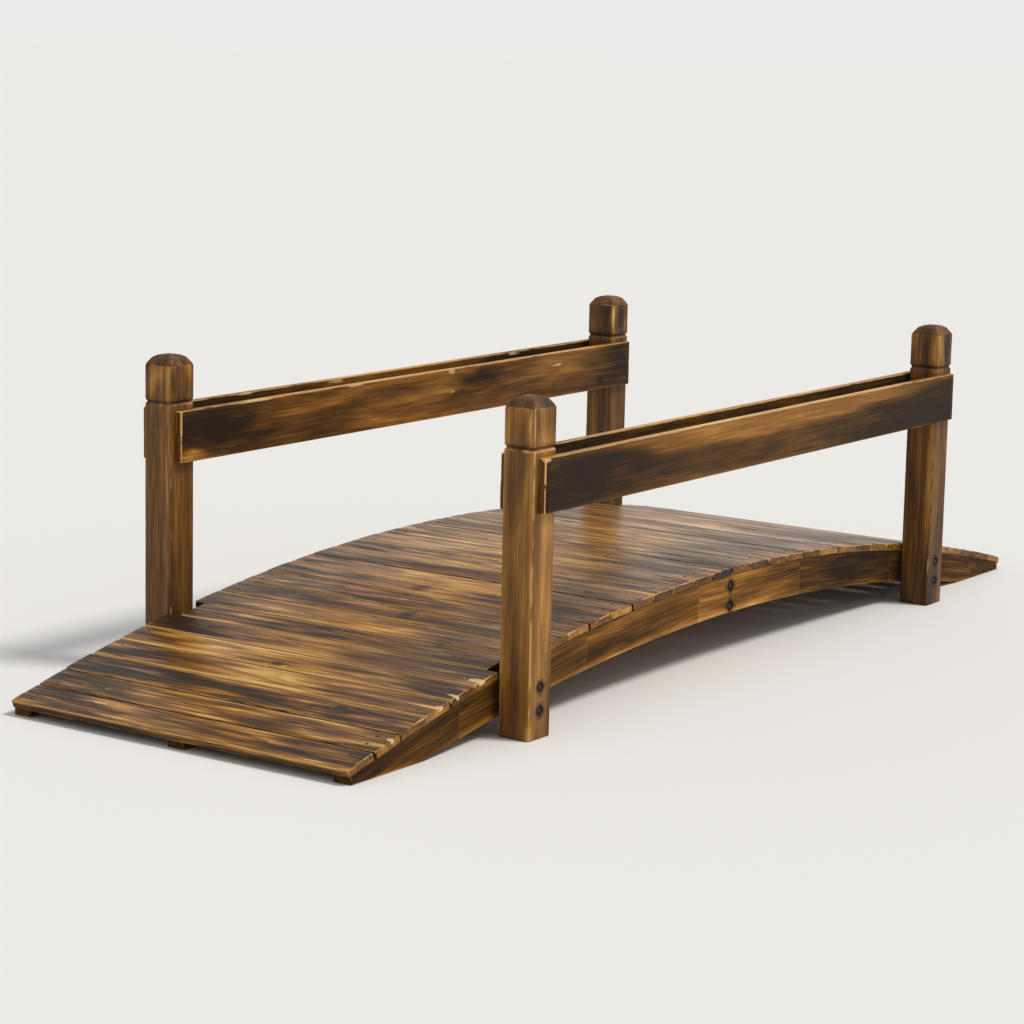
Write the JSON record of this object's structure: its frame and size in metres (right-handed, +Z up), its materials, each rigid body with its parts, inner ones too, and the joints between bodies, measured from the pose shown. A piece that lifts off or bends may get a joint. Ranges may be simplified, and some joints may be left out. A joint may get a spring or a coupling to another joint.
{
  "type": "arched wooden footbridge",
  "caption": "small arched garden footbridge of charred fir: cross boards on sawn arched stringers, square posts with bevelled caps and a pair of rail planks on each side",
  "frame": {"origin": "on the ground, at the middle of the bridge in plan", "axes": "+X along the bridge, +Y across it towards the back rail, +Z up"},
  "size_m": [2.2996, 0.867, 0.57],
  "materials": {
    "deck_boards": "flame-charred fir, brushed and oiled, brown to golden with dark charred ends",
    "posts": "flame-charred fir, brushed and oiled, caramel with dark streaks",
    "rails": "flame-charred fir, brushed and oiled, golden along the top and charred below",
    "stringers": "flame-charred fir, brushed and oiled, dark brown with an orange lower edge"
  },
  "bodies": {
    "root": {"deck_board_01": "deck_boards", "deck_board_02": "deck_boards", "deck_board_03": "deck_boards", "deck_board_04": "deck_boards", "deck_board_05": "deck_boards", "deck_board_06": "deck_boards", "deck_board_07": "deck_boards", "deck_board_08": "deck_boards", "deck_board_09": "deck_boards", "deck_board_10": "deck_boards", "deck_board_11": "deck_boards", "deck_board_12": "deck_boards", "deck_board_13": "deck_boards", "deck_board_14": "deck_boards", "deck_board_15": "deck_boards", "deck_board_16": "deck_boards", "deck_board_17": "deck_boards", "deck_board_18": "deck_boards", "deck_board_19": "deck_boards", "deck_board_20": "deck_boards", "deck_board_21": "deck_boards", "deck_board_22": "deck_boards", "deck_board_23": "deck_boards", "deck_board_24": "deck_boards", "deck_board_25": "deck_boards", "deck_board_26": "deck_boards", "deck_board_27": "deck_boards", "deck_board_28": "deck_boards", "deck_board_29": "deck_boards", "deck_board_30": "deck_boards", "deck_board_31": "deck_boards", "deck_board_32": "deck_boards", "deck_board_33": "deck_boards", "deck_board_34": "deck_boards", "mid_cross_brace": "stringers", "post_back_left": "posts", "post_back_right": "posts", "post_front_left": "posts", "post_front_right": "posts", "rail_back_inner": "rails", "rail_back_outer": "rails", "rail_front_inner": "rails", "rail_front_outer": "rails", "stringer_back": "stringers", "stringer_centre": "stringers", "stringer_front": "stringers"}
  },
  "joints": []
}
